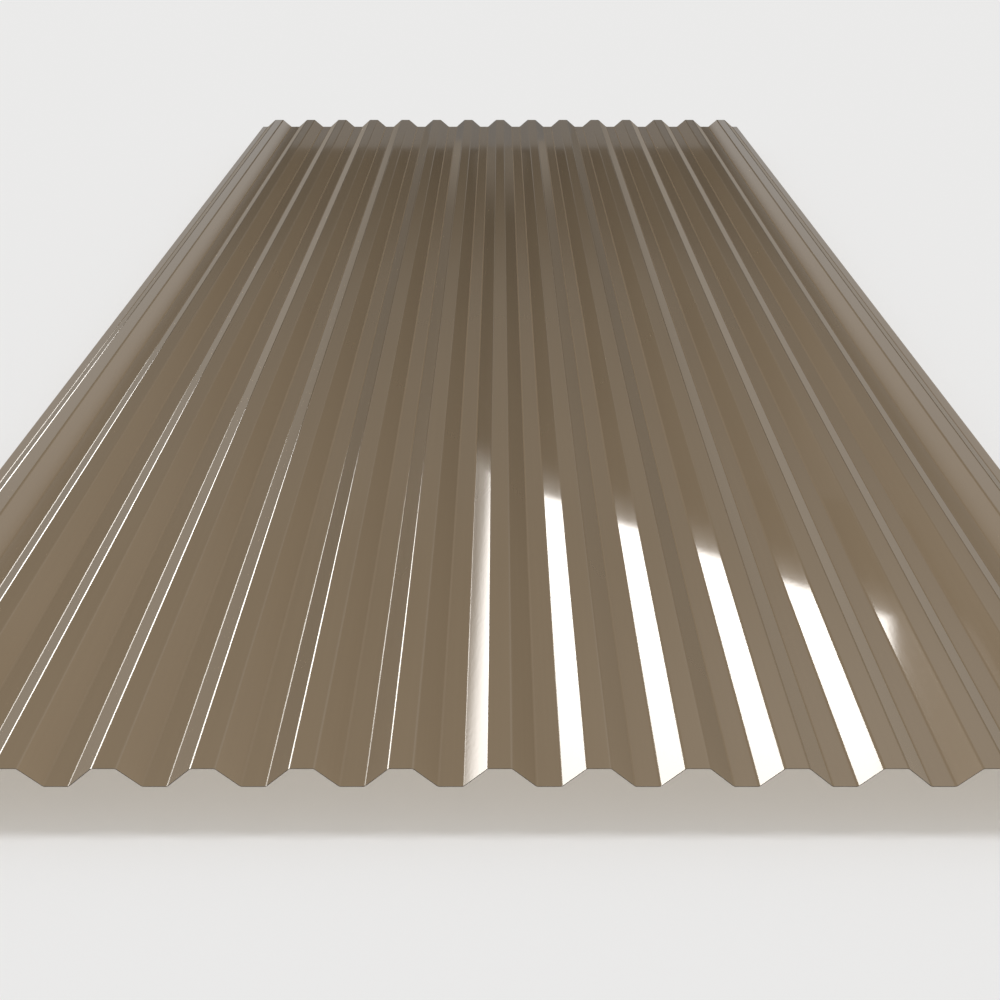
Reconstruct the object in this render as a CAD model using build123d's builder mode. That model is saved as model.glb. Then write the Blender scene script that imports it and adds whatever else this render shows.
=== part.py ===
# Corrugated metal sheet: one strip of coated steel, roll formed into flat-topped
# ribs across its width and cut square to length.
#
# The frame is in millimetres: X across the ribs, Y along them and Z up. The origin
# is under the middle of the sheet, at the level that its valleys rest on.

import os

from build123d import *

# Ribs, measured along the underside between the sharp corners that the folds round
rib_count = 15
rib_pitch = 70.0
rib_depth = 15.0
crest_width = 17.0
valley_width = 18.0

# Flat lip outside the last rib on each long edge, level with the valleys
lip_width = 11.0

# Steel strip
sheet_length = 2550.0
steel_thickness = 0.5
inner_fold_radius = 3.0

# What follows from the sizes above
slope_run = (rib_pitch - crest_width - valley_width) / 2
outer_fold_radius = inner_fold_radius + steel_thickness
half_crest = crest_width / 2
half_foot = half_crest + slope_run
first_rib_centre = -rib_pitch * (rib_count - 1) / 2
rib_centres = [first_rib_centre + rib * rib_pitch for rib in range(rib_count)]
half_width = rib_centres[-1] + half_foot + lip_width


def rib_corners(centre):
    """The sharp corners of one rib's underside, from left to right."""
    return [
        (centre - half_foot, 0),
        (centre - half_crest, rib_depth),
        (centre + half_crest, rib_depth),
        (centre + half_foot, 0),
    ]


# Seen from below, the steel bends around the outside of each fold at a rib's foot
# and around the inside of each fold at its crest
rib_fold_radii = [
    outer_fold_radius,
    inner_fold_radius,
    inner_fold_radius,
    outer_fold_radius,
]

# The section runs from lip to lip over every rib, gets the thickness of the steel
# on its upper side, and is drawn out along the ribs
with BuildPart() as corrugated_sheet:
    with BuildSketch(Plane.XZ) as section:
        with BuildLine() as underside:
            FilletPolyline(
                (-half_width, 0),
                *[corner for centre in rib_centres for corner in rib_corners(centre)],
                (half_width, 0),
                radius=rib_fold_radii * rib_count,
            )
            offset(amount=steel_thickness, side=Side.LEFT)
        make_face()
    extrude(amount=sheet_length / 2, both=True)

corrugated_sheet.part.label = "corrugated_sheet"

os.makedirs("parts", exist_ok=True)
export_step(corrugated_sheet.part, "parts/corrugated_sheet.step")
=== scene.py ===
# Looks of the corrugated metal sheet: one roll-formed strip of steel with a glossy brown coat.
# It lies flat in a pale studio. Lengths are in metres, and angles given as numbers are in degrees.

import math

import bmesh
import bpy
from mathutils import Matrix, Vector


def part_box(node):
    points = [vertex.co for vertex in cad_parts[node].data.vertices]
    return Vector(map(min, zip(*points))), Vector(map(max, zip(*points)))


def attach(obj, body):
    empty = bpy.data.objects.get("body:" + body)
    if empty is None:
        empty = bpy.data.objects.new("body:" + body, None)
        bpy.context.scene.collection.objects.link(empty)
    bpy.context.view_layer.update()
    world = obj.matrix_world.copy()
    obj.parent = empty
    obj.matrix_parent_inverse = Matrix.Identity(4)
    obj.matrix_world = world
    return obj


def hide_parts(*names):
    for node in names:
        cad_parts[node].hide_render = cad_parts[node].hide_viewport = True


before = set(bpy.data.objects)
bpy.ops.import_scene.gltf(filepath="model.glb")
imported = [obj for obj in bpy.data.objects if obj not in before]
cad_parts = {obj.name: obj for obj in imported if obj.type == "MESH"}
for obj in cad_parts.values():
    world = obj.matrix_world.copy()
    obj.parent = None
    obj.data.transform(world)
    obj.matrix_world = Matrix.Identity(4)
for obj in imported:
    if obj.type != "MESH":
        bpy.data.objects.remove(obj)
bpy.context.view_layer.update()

sheet_low, sheet_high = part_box("corrugated_sheet")

# Rib section as rolled, along the underside between sharp corners
RIB_COUNT = 15
RIB_PITCH = 0.070
RIB_DEPTH = 0.015
CREST_WIDTH = 0.017
VALLEY_WIDTH = 0.018
STEEL_THICKNESS = sheet_high.z - RIB_DEPTH
INNER_FOLD_RADIUS = 0.003
SHEET_LENGTH = sheet_high.y - sheet_low.y
SHEET_WIDTH = sheet_high.x - sheet_low.x

# The same section along the middle of the steel's thickness, where the sheet is modelled
SLOPE_RUN = (RIB_PITCH - CREST_WIDTH - VALLEY_WIDTH) / 2
FOLD_ANGLE = math.atan2(RIB_DEPTH, SLOPE_RUN)
CORNER_SHIFT = STEEL_THICKNESS / 2 * math.tan(FOLD_ANGLE / 2)
MIDDLE_CREST = CREST_WIDTH + 2 * CORNER_SHIFT
HALF_VALLEY = VALLEY_WIDTH / 2 - CORNER_SHIFT
HALF_RIBS = RIB_COUNT * RIB_PITCH / 2
LIP_REACH = SHEET_WIDTH / 2 - HALF_RIBS
FOLD_RADIUS = INNER_FOLD_RADIUS + STEEL_THICKNESS / 2
FOLD_SETBACK = FOLD_RADIUS * math.tan(FOLD_ANGLE / 2)

# How finely the sheet is modelled
FOLD_SEGMENTS = 8
ROUND_PROFILE = 0.5
SAME_PLACE = 1e-5
FLAT_ANGLE = 1.0
SMOOTH_ANGLE = 35.0

# Upward share of a face's normal: under the first on cut edges, between slope and flat on folds
CUT_EDGE_UP = 0.3
SLOPE_MARGIN = 0.01
SLOPE_UP = math.cos(FOLD_ANGLE) + SLOPE_MARGIN
FLAT_UP = 0.9997

# Finishes, in the order of the sheet's material slots
TOP_COAT, BACK_COAT, CUT_EDGE, PAINTED_SHADE_FOLD_COAT = range(4)

# Top coat, between two shades: full gloss, and in the valley folds duller and darker, a painted shade
# standing in for the neighbouring ribs shading the folds' reflection
PAINT_DARK = (0.262, 0.199, 0.131)
PAINT_LIGHT = (0.281, 0.214, 0.141)
FULL_GLOSS = 1.0
FOLD_PAINTED_SHADE_DARK = (0.243, 0.184, 0.121)
FOLD_PAINTED_SHADE_LIGHT = (0.26, 0.198, 0.131)
FOLD_PAINTED_SHADE_GLOSS = 0.3
FULL_SPECULAR = 0.5
CLEAR_COAT_ROUGHNESS = 0.03
PAINT_ROUGHNESS = (0.05, 0.07)
PAINT_RELIEF = 0.000004

# Back coat, between two shades
PRIMER_DARK = (0.31, 0.26, 0.2)
PRIMER_LIGHT = (0.38, 0.325, 0.26)
PRIMER_ROUGHNESS = (0.46, 0.58)
PRIMER_RELIEF = 0.00002

# Bare steel, between two shades
STEEL_DARK = (0.09, 0.078, 0.062)
STEEL_LIGHT = (0.16, 0.14, 0.115)
STEEL_ROUGHNESS = (0.4, 0.6)
STEEL_METAL = 0.3

# Noise in the finishes: the length of its grain along X, Y and Z, and its detail
PAINT_CLOUDS = ((0.14, 0.5, 0.14), 3)
PAINT_STREAKS = ((0.003, 0.4, 0.003), 2)
PAINT_GRAIN = ((0.0008, 0.0008, 0.0008), 1)
PAINT_PEEL = ((0.004, 0.005, 0.004), 1)
PRIMER_CLOUDS = ((0.09, 0.3, 0.09), 4)
PRIMER_STREAKS = ((0.002, 0.3, 0.002), 3)
PRIMER_GRAIN = ((0.0012, 0.0012, 0.0012), 2)
SHEAR_MARKS = ((0.0006, 0.0006, 0.006), 3)
NOISE_LOW = 0.3
NOISE_HIGH = 0.7

# Shares of the clouds, the streaks and the grain in each coat's shade
PAINT_SHARES = (0.5, 0.25, 0.25)
PRIMER_SHARES = (0.5, 0.3, 0.2)

# Angle between level and upright
RIGHT_ANGLE = 90.0

# Camera of the photograph
CAMERA_HEIGHT = 0.628
CAMERA_SETBACK = 0.914
CAMERA_PITCH = 23.92
CAMERA_LENS = 55.33

# Studio: the floor and the room, and each light's share of a plain level of 1
FLOOR_DROP = 0.042
FLOOR_SIZE = 60.0
FLOOR_GREY = 0.86
FLOOR_ROUGHNESS = 0.6
ROOM_SHARE = 0.38
ROOM_GREY = 0.835
TOP_SHARE = 0.26
TOP_COLOUR = (0.97, 1.0, 1.06)
TOP_HEIGHT = RIGHT_ANGLE
TOP_WIDTH = 16.0
FILL_SHARE = 0.165
FILL_COLOUR = (1.0, 0.965, 0.9)
FILL_HEIGHT = 20.0
FILL_WIDTH = 10.0

# Softbox on the left. Edges here and below run from where the light is out to where it is full
SOFTBOX_PLACE = ((-4.8, 3.0, 0.3), (-4.8, 12.0, 4.6))
SOFTBOX_LIGHT = 3.05
SOFTBOX_LIGHT_RISE = 1.1
SOFTBOX_COLOUR = (1.0, 0.97, 0.93)
SOFTBOX_BOTTOM = (0.364, 0.508)
SOFTBOX_BOTTOM_LEAN = -0.025
SOFTBOX_TOP = (1.95, 1.8)
SOFTBOX_TOP_LEAN = -0.21
SOFTBOX_END = (10.99, 10.79)
SOFTBOX_END_LEAN = 0.36
SPILL_LIGHT = 0.28
SPILL_END = (11.7, 10.9)

# Dim light strips along both sides
STRIP_REACH = 12.0
STRIP_ALONG = (12.0, 95.0)
STRIP_UP = (12.2, 16.3)
STRIP_BOTTOM = (12.3, 13.1)
STRIP_TOP = (16.2, 14.6)
STRIP_LIGHT = 0.33

# Pale card far off, narrower towards its top
CARD_PLACE = ((-22.9, 120.0, -2.0), (22.9, 120.0, 23.1))
CARD_SIDE = (23.7, 23.5)
CARD_LEAN = 0.185
CARD_LIGHT = 0.125

# Walls of a dim room, with a haze, a light patch high on the right and a pale top
WALL_WIDTH = 320.0
WALL_DEPTH = 124.0
WALL_UP = (5.0, 400.0)
WALL_LIGHT = 0.005
WALL_TOP = (150.0, 400.0)
HAZE_BOTTOM = (28.0, 38.0)
HAZE_TOP = (66.0, 50.0)
HAZE_LIGHT = 0.045
PATCH_LEFT = (-5.0, 40.0)
PATCH_RIGHT = (65.0, 50.0)
PATCH_BOTTOM = (41.0, 82.0)
PATCH_TOP = (114.0, 97.0)
PATCH_LIGHT = 0.25

# Lower walls, paler downwards by the rise over the run from the middle of the room, with a halo
GROUND_GAP = 1.0
GROUND_DOWN = -120.0
GROUND_COLOUR = (1.0, 0.88, 0.74)
HORIZON = (0.13, 0.03)
HORIZON_LIGHT = 0.08
GROUND = (-0.07, -0.27)
GROUND_LIGHT = 0.18
HALO_SIDE = (30.0, 24.0)
HALO_BOTTOM = (-4.0, 1.0)
HALO_TOP = (6.5, 4.5)
HALO_LIGHT = 0.1


def new_material(name):
    material = bpy.data.materials.new(name)
    material.use_nodes = True
    return material, material.node_tree


def combine(tree, operation, first, *others):
    """Several outputs and numbers taken together by a Math node's operation, from left to right."""
    for other in others:
        node = tree.nodes.new("ShaderNodeMath")
        node.operation = operation
        for socket, value in zip(node.inputs, (first, other)):
            if isinstance(value, (int, float)):
                socket.default_value = value
            else:
                tree.links.new(value, socket)
        first = node.outputs["Value"]
    return first


def leaning(tree, value, other, lean):
    """A value that shifts by a share of another."""
    return combine(tree, "ADD", value, combine(tree, "MULTIPLY", other, lean))


def soft_edge(tree, value, reach, light=1.0):
    """A soft edge over a reach, from where the light is out to where it is full."""
    step = tree.nodes.new("ShaderNodeMapRange")
    step.interpolation_type = "SMOOTHSTEP"
    step.inputs["From Min"].default_value, step.inputs["From Max"].default_value = reach
    step.inputs["To Max"].default_value = light
    tree.links.new(value, step.inputs["Value"])
    return step.outputs["Result"]


def surface_noise(tree, grain, detail):
    """Noise on the sheet's own coordinates, with a grain of the given length along each axis."""
    place = tree.nodes.new("ShaderNodeTexCoord")
    drawn = tree.nodes.new("ShaderNodeMapping")
    drawn.inputs["Scale"].default_value = [1 / length for length in grain]
    noise = tree.nodes.new("ShaderNodeTexNoise")
    noise.inputs["Scale"].default_value = 1.0
    noise.inputs["Detail"].default_value = detail
    tree.links.new(place.outputs["Object"], drawn.inputs["Vector"])
    tree.links.new(drawn.outputs["Vector"], noise.inputs["Vector"])
    return noise.outputs["Fac"]


def spread(tree, noise, low, high):
    """Spreads a noise between two values."""
    reach = tree.nodes.new("ShaderNodeMapRange")
    reach.inputs["From Min"].default_value = NOISE_LOW
    reach.inputs["From Max"].default_value = NOISE_HIGH
    reach.inputs["To Min"].default_value = low
    reach.inputs["To Max"].default_value = high
    tree.links.new(noise, reach.inputs["Value"])
    return reach.outputs["Result"]


def mixed_shade(tree, noises, shares):
    """A shade from 0 to 1 out of several noises, each by its share."""
    parts = [spread(tree, noise, 0, share) for noise, share in zip(noises, shares)]
    return combine(tree, "ADD", *parts)


def blend(tree, factor, first, second):
    """A colour between two, by a factor."""
    mix = tree.nodes.new("ShaderNodeMix")
    mix.data_type = "RGBA"
    mix.inputs["A"].default_value = (*first, 1)
    mix.inputs["B"].default_value = (*second, 1)
    tree.links.new(factor, mix.inputs["Factor"])
    return mix.outputs["Result"]


def relief(tree, noise, height):
    """A normal from a noise, with its height in metres."""
    bump = tree.nodes.new("ShaderNodeBump")
    bump.inputs["Strength"].default_value = 1.0
    bump.inputs["Distance"].default_value = height
    tree.links.new(noise, bump.inputs["Height"])
    return bump.outputs["Normal"]


def brown_top_coat(name, dark, light, gloss):
    """Top coat: brown-beige baked paint under a clear gloss, with a faint peel."""
    material, tree = new_material(name)
    paint = tree.nodes["Principled BSDF"]
    clouds = surface_noise(tree, *PAINT_CLOUDS)
    streaks = surface_noise(tree, *PAINT_STREAKS)
    grain = surface_noise(tree, *PAINT_GRAIN)
    peel = surface_noise(tree, *PAINT_PEEL)
    shade = mixed_shade(tree, (clouds, streaks, grain), PAINT_SHARES)
    normal = relief(tree, peel, PAINT_RELIEF)
    tree.links.new(blend(tree, shade, dark, light), paint.inputs["Base Color"])
    tree.links.new(spread(tree, streaks, *PAINT_ROUGHNESS), paint.inputs["Roughness"])
    tree.links.new(normal, paint.inputs["Normal"])
    tree.links.new(normal, paint.inputs["Coat Normal"])
    paint.inputs["Specular IOR Level"].default_value = gloss * FULL_SPECULAR
    paint.inputs["Coat Weight"].default_value = gloss
    paint.inputs["Coat Roughness"].default_value = CLEAR_COAT_ROUGHNESS
    return material


def beige_back_coat():
    """Back coat: thin beige primer, matt, with the streaks of the coating roller."""
    material, tree = new_material("beige_back_coat")
    paint = tree.nodes["Principled BSDF"]
    clouds = surface_noise(tree, *PRIMER_CLOUDS)
    streaks = surface_noise(tree, *PRIMER_STREAKS)
    grain = surface_noise(tree, *PRIMER_GRAIN)
    shade = mixed_shade(tree, (clouds, streaks, grain), PRIMER_SHARES)
    tree.links.new(blend(tree, shade, PRIMER_DARK, PRIMER_LIGHT), paint.inputs["Base Color"])
    tree.links.new(spread(tree, clouds, *PRIMER_ROUGHNESS), paint.inputs["Roughness"])
    tree.links.new(relief(tree, grain, PRIMER_RELIEF), paint.inputs["Normal"])
    return material


def sheared_steel():
    """Bare cut edges, streaked by the shear."""
    material, tree = new_material("sheared_steel")
    steel = tree.nodes["Principled BSDF"]
    marks = surface_noise(tree, *SHEAR_MARKS)
    tree.links.new(blend(tree, marks, STEEL_DARK, STEEL_LIGHT), steel.inputs["Base Color"])
    tree.links.new(spread(tree, marks, *STEEL_ROUGHNESS), steel.inputs["Roughness"])
    steel.inputs["Metallic"].default_value = STEEL_METAL
    return material


def new_plane(name):
    """A unit plane under a name, alone in the selection."""
    bpy.ops.object.select_all(action="DESELECT")
    bpy.ops.mesh.primitive_plane_add(size=1.0)
    plane = bpy.context.object
    plane.name = name
    return plane


def select_edges(mesh_object, wanted):
    """In edit mode, selects the edges for which wanted(edge) is true, and nothing else."""
    bpy.ops.mesh.select_mode(type="EDGE")
    bpy.ops.mesh.select_all(action="DESELECT")
    mesh = bmesh.from_edit_mesh(mesh_object.data)
    for edge in mesh.edges:
        edge.select = wanted(edge)
    bmesh.update_edit_mesh(mesh_object.data)


def lies_at(edge, x):
    return all(abs(corner.co.x - x) < SAME_PLACE for corner in edge.verts)


def apply_modifier(modifier):
    bpy.ops.object.modifier_apply(modifier=modifier.name)


def fold_first_rib(sheet):
    """Half a valley, with the rib and the other half valley folded on from its edge."""
    bpy.ops.object.mode_set(mode="EDIT")
    bpy.ops.mesh.select_all(action="SELECT")
    bpy.ops.transform.resize(value=(HALF_VALLEY, SHEET_LENGTH, 1))
    bpy.ops.transform.translate(value=(HALF_VALLEY / 2 - HALF_RIBS, 0, STEEL_THICKNESS / 2))
    select_edges(sheet, lambda edge: lies_at(edge, HALF_VALLEY - HALF_RIBS))
    for across, up in (
        (SLOPE_RUN, RIB_DEPTH),
        (MIDDLE_CREST, 0),
        (SLOPE_RUN, -RIB_DEPTH),
        (HALF_VALLEY, 0),
    ):
        bpy.ops.mesh.extrude_region_move(TRANSFORM_OT_translate={"value": (across, 0, up)})
    bpy.ops.object.mode_set(mode="OBJECT")


def repeat_rib(sheet):
    """Sets all the ribs side by side, joined in their valleys."""
    ribs = sheet.modifiers.new("ribs", "ARRAY")
    ribs.count = RIB_COUNT
    ribs.use_relative_offset = False
    ribs.use_constant_offset = True
    ribs.constant_offset_displace = (RIB_PITCH, 0, 0)
    ribs.use_merge_vertices = True
    ribs.merge_threshold = SAME_PLACE
    apply_modifier(ribs)


def draw_lips_and_round_folds(sheet):
    """Draws the outer half valleys out to lips, makes each valley one flat and rounds the folds."""
    bpy.ops.object.mode_set(mode="EDIT")
    for side in (-1, 1):
        select_edges(sheet, lambda edge: lies_at(edge, side * HALF_RIBS))
        bpy.ops.transform.translate(value=(side * LIP_REACH, 0, 0))
    bpy.ops.mesh.select_all(action="SELECT")
    bpy.ops.mesh.dissolve_limited(angle_limit=math.radians(FLAT_ANGLE))
    select_edges(sheet, lambda edge: len(edge.link_faces) == 2)
    bpy.ops.mesh.bevel(
        offset_type="OFFSET",
        offset=FOLD_SETBACK,
        segments=FOLD_SEGMENTS,
        profile=ROUND_PROFILE,
        affect="EDGES",
        clamp_overlap=False,
    )
    bpy.ops.mesh.select_all(action="SELECT")
    bpy.ops.mesh.normals_make_consistent(inside=False)
    bpy.ops.object.mode_set(mode="OBJECT")


def thicken(sheet):
    """Gives the sheet its thickness, to both sides of its middle, with smooth folds and flat flats."""
    thickness = sheet.modifiers.new("steel_thickness", "SOLIDIFY")
    thickness.thickness = STEEL_THICKNESS
    thickness.offset = 0
    thickness.use_even_offset = True
    apply_modifier(thickness)
    bpy.ops.object.shade_smooth_by_angle(angle=math.radians(SMOOTH_ANGLE))
    even = sheet.modifiers.new("flat_flats", "WEIGHTED_NORMAL")
    even.keep_sharp = True
    apply_modifier(even)


def roll_formed_sheet():
    """The sheet: one rib folded from a flat strip, repeated, rounded at the folds and thickened."""
    sheet = new_plane("roll_formed_sheet")
    fold_first_rib(sheet)
    repeat_rib(sheet)
    draw_lips_and_round_folds(sheet)
    thicken(sheet)
    return sheet


def dress(sheet):
    """Top coat above, duller and darker in the valley folds as a painted shade of their reflection,
    back coat below, bare steel on the cut edges.
    """
    finishes = {
        TOP_COAT: brown_top_coat("brown_gloss_coat", PAINT_DARK, PAINT_LIGHT, FULL_GLOSS),
        BACK_COAT: beige_back_coat(),
        CUT_EDGE: sheared_steel(),
        # Duller, darker coat for the valley folds: painted shade, not a different finish of the real
        # sheet
        PAINTED_SHADE_FOLD_COAT: brown_top_coat("brown_coat_with_painted_fold_shade", FOLD_PAINTED_SHADE_DARK, FOLD_PAINTED_SHADE_LIGHT, FOLD_PAINTED_SHADE_GLOSS),
    }
    for slot in sorted(finishes):
        sheet.data.materials.append(finishes[slot])
    for face in sheet.data.polygons:
        up = face.normal.z
        folded = SLOPE_UP < up < FLAT_UP
        if abs(up) < CUT_EDGE_UP:
            face.material_index = CUT_EDGE
        elif up < 0:
            face.material_index = BACK_COAT
        # Valley folds get the duller, darker coat, which paints the shade of their reflection
        elif folded and face.center.z < RIB_DEPTH / 2:
            face.material_index = PAINTED_SHADE_FOLD_COAT
        else:
            face.material_index = TOP_COAT


def panel(name, corners, material):
    """A flat studio panel between two opposite corners, square to one axis."""
    card = new_plane(name)
    low, high = corners
    centre = [(a + b) / 2 for a, b in zip(low, high)]
    size = [b - a for a, b in zip(low, high)]
    bpy.ops.object.mode_set(mode="EDIT")
    bpy.ops.mesh.select_all(action="SELECT")
    upright = math.radians(RIGHT_ANGLE)
    for length, axis in ((size[0], "Y"), (size[1], "X")):
        if length == 0:
            bpy.ops.transform.rotate(value=upright, orient_axis=axis, center_override=(0, 0, 0))
    bpy.ops.transform.resize(value=[length if length else 1 for length in size])
    bpy.ops.transform.translate(value=centre)
    bpy.ops.object.mode_set(mode="OBJECT")
    card.data.materials.append(material)
    return card


def pale_floor():
    """A pale floor that shows from above only, so that the sheet can be seen from below."""
    material, tree = new_material("pale_floor")
    surface = tree.nodes["Principled BSDF"]
    surface.inputs["Base Color"].default_value = (FLOOR_GREY, FLOOR_GREY, FLOOR_GREY, 1)
    surface.inputs["Roughness"].default_value = FLOOR_ROUGHNESS
    surface.inputs["Specular IOR Level"].default_value = 0.0
    side = tree.nodes.new("ShaderNodeNewGeometry")
    clear = tree.nodes.new("ShaderNodeBsdfTransparent")
    shown = tree.nodes.new("ShaderNodeMixShader")
    tree.links.new(side.outputs["Backfacing"], shown.inputs["Fac"])
    tree.links.new(surface.outputs["BSDF"], shown.inputs[1])
    tree.links.new(clear.outputs["BSDF"], shown.inputs[2])
    tree.links.new(shown.outputs["Shader"], tree.nodes["Material Output"].inputs["Surface"])
    half = FLOOR_SIZE / 2
    floor = panel("pale_floor", ((-half, -half, -FLOOR_DROP), (half, half, -FLOOR_DROP)), material)
    floor.visible_glossy = False


def glow_card(name, corners, glow, colour=(1, 1, 1)):
    """A card that shows only in the gloss of the sheet. glow(tree, place) gives its light."""
    material, tree = new_material(name)
    tree.nodes.remove(tree.nodes["Principled BSDF"])
    place = tree.nodes.new("ShaderNodeTexCoord")
    axes = tree.nodes.new("ShaderNodeSeparateXYZ")
    tree.links.new(place.outputs["Object"], axes.inputs["Vector"])
    light = tree.nodes.new("ShaderNodeEmission")
    light.inputs["Color"].default_value = (*colour, 1)
    tree.links.new(glow(tree, axes.outputs), light.inputs["Strength"])
    tree.links.new(light.outputs["Emission"], tree.nodes["Material Output"].inputs["Surface"])
    material.cycles.emission_sampling = "NONE"
    card = panel(name, corners, material)
    card.visible_camera = False
    card.visible_diffuse = False
    card.visible_shadow = False


def softbox_glow(tree, place):
    """Bright, with soft leaning edges, and a little light spilt beyond the far end."""
    bottom = leaning(tree, place["Z"], place["Y"], SOFTBOX_BOTTOM_LEAN)
    top = leaning(tree, place["Z"], place["Y"], SOFTBOX_TOP_LEAN)
    end = leaning(tree, place["Y"], place["Z"], SOFTBOX_END_LEAN)
    lit = combine(
        tree,
        "MINIMUM",
        soft_edge(tree, end, SOFTBOX_END),
        soft_edge(tree, bottom, SOFTBOX_BOTTOM),
        soft_edge(tree, top, SOFTBOX_TOP),
    )
    rise = combine(tree, "MULTIPLY", place["Z"], SOFTBOX_LIGHT_RISE)
    glow = combine(tree, "MULTIPLY", lit, combine(tree, "ADD", rise, SOFTBOX_LIGHT))
    return combine(tree, "ADD", glow, soft_edge(tree, end, SPILL_END, SPILL_LIGHT))


def strip_glow(tree, place):
    """Dim, between a soft lower and a soft upper edge."""
    low = soft_edge(tree, place["Z"], STRIP_BOTTOM)
    high = soft_edge(tree, place["Z"], STRIP_TOP, STRIP_LIGHT)
    return combine(tree, "MULTIPLY", low, high)


def card_glow(tree, place):
    """Dim, between soft sides that lean inwards."""
    side = combine(tree, "ABSOLUTE", place["X"], 0)
    return soft_edge(tree, leaning(tree, side, place["Z"], CARD_LEAN), CARD_SIDE, CARD_LIGHT)


def wall_glow(tree, place):
    """Almost dark, with a haze, a light patch above it and a pale top."""
    haze = combine(
        tree,
        "MULTIPLY",
        soft_edge(tree, place["Z"], HAZE_BOTTOM),
        soft_edge(tree, place["Z"], HAZE_TOP, HAZE_LIGHT),
    )
    patch = combine(
        tree,
        "MULTIPLY",
        soft_edge(tree, place["X"], PATCH_LEFT),
        soft_edge(tree, place["X"], PATCH_RIGHT),
        soft_edge(tree, place["Z"], PATCH_BOTTOM),
        soft_edge(tree, place["Z"], PATCH_TOP, PATCH_LIGHT),
    )
    top = soft_edge(tree, place["Z"], WALL_TOP, ROOM_GREY)
    return combine(tree, "ADD", haze, patch, top, WALL_LIGHT)


def ground_glow(tree, place):
    """Paler downwards, with a halo about the middle of the horizon."""
    run = combine(tree, "ABSOLUTE", place["X"], 0)
    rise = combine(tree, "DIVIDE", place["Z"], run)
    horizon = soft_edge(tree, rise, HORIZON, HORIZON_LIGHT)
    ground = soft_edge(tree, rise, GROUND, GROUND_LIGHT)
    halo = combine(
        tree,
        "MULTIPLY",
        soft_edge(tree, run, HALO_SIDE, HALO_LIGHT),
        soft_edge(tree, place["Z"], HALO_BOTTOM),
        soft_edge(tree, place["Z"], HALO_TOP),
    )
    return combine(tree, "ADD", horizon, ground, halo, WALL_LIGHT)


def gloss_surround():
    """What the gloss of the sheet shows: a softbox, light strips and a far card in a dim room."""
    glow_card("left_softbox", SOFTBOX_PLACE, softbox_glow, SOFTBOX_COLOUR)
    glow_card("far_card", CARD_PLACE, card_glow)
    near, far = STRIP_ALONG
    low, high = STRIP_UP
    for x, name in ((-STRIP_REACH, "left_strip"), (STRIP_REACH, "right_strip")):
        glow_card(name, ((x, near, low), (x, far, high)), strip_glow)

    low, high = WALL_UP
    for way, name in ((1, "far"), (-1, "near")):
        y = way * WALL_DEPTH
        ground_y = way * (WALL_DEPTH - GROUND_GAP)
        rim = HORIZON[0] * WALL_DEPTH
        wall = ((-WALL_WIDTH, y, low), (WALL_WIDTH, y, high))
        ground = ((-WALL_WIDTH, ground_y, GROUND_DOWN), (WALL_WIDTH, ground_y, rim))
        glow_card(name + "_wall", wall, wall_glow)
        glow_card(name + "_ground", ground, ground_glow, GROUND_COLOUR)
    for way, name in ((-1, "left"), (1, "right")):
        x = way * WALL_WIDTH
        ground_x = way * (WALL_WIDTH - GROUND_GAP)
        rim = HORIZON[0] * WALL_WIDTH
        wall = ((x, -WALL_DEPTH, low), (x, WALL_DEPTH, high))
        ground = ((ground_x, -WALL_DEPTH, GROUND_DOWN), (ground_x, WALL_DEPTH, rim))
        glow_card(name + "_wall", wall, wall_glow)
        glow_card(name + "_ground", ground, ground_glow, GROUND_COLOUR)


def sun(name, share, colour, side, height, width, shadows):
    """A lamp far away that lights level ground by its share of a plain level."""
    lamp = bpy.data.lights.new(name, "SUN")
    lamp.energy = share * math.pi / math.sin(math.radians(height))
    lamp.color = colour
    lamp.angle = math.radians(width)
    lamp.use_shadow = shadows
    holder = bpy.data.objects.new(name, lamp)
    holder.rotation_euler = (0, side * math.radians(RIGHT_ANGLE - height), 0)
    holder.visible_glossy = False
    bpy.context.scene.collection.objects.link(holder)


def studio():
    """A pale room, brighter to the eye than its light on the sheet, with a top light and two fills."""
    world = bpy.data.worlds.new("studio")
    bpy.context.scene.world = world
    world.use_nodes = True
    tree = world.node_tree
    path = tree.nodes.new("ShaderNodeLightPath")
    seen = combine(
        tree,
        "ADD",
        path.outputs["Is Camera Ray"],
        path.outputs["Is Glossy Ray"],
        path.outputs["Is Transmission Ray"],
    )
    level = tree.nodes.new("ShaderNodeMapRange")
    level.inputs["To Min"].default_value = ROOM_SHARE
    level.inputs["To Max"].default_value = ROOM_GREY
    tree.links.new(seen, level.inputs["Value"])
    background = tree.nodes["Background"]
    background.inputs["Color"].default_value = (1, 1, 1, 1)
    tree.links.new(level.outputs["Result"], background.inputs["Strength"])

    sun("top_light", TOP_SHARE, TOP_COLOUR, 0, TOP_HEIGHT, TOP_WIDTH, True)
    sun("left_fill", FILL_SHARE, FILL_COLOUR, -1, FILL_HEIGHT, FILL_WIDTH, False)
    sun("right_fill", FILL_SHARE, FILL_COLOUR, 1, FILL_HEIGHT, FILL_WIDTH, False)


def photo_camera():
    """The camera of the photograph, over the sheet's middle line and looking down along it."""
    lens = bpy.data.cameras.new("photo_camera")
    lens.lens = CAMERA_LENS
    camera = bpy.data.objects.new("photo_camera", lens)
    camera.location = (0, sheet_low.y - CAMERA_SETBACK, CAMERA_HEIGHT)
    camera.rotation_euler = (math.radians(RIGHT_ANGLE - CAMERA_PITCH), 0, 0)
    bpy.context.scene.collection.objects.link(camera)
    bpy.context.scene.camera = camera


sheet = roll_formed_sheet()
dress(sheet)
# The gloss shows what is around the sheet, and not the sheet itself
sheet.visible_glossy = False
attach(sheet, "root")
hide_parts("corrugated_sheet")
pale_floor()
studio()
gloss_surround()
photo_camera()
bpy.context.scene.view_settings.view_transform = "Standard"
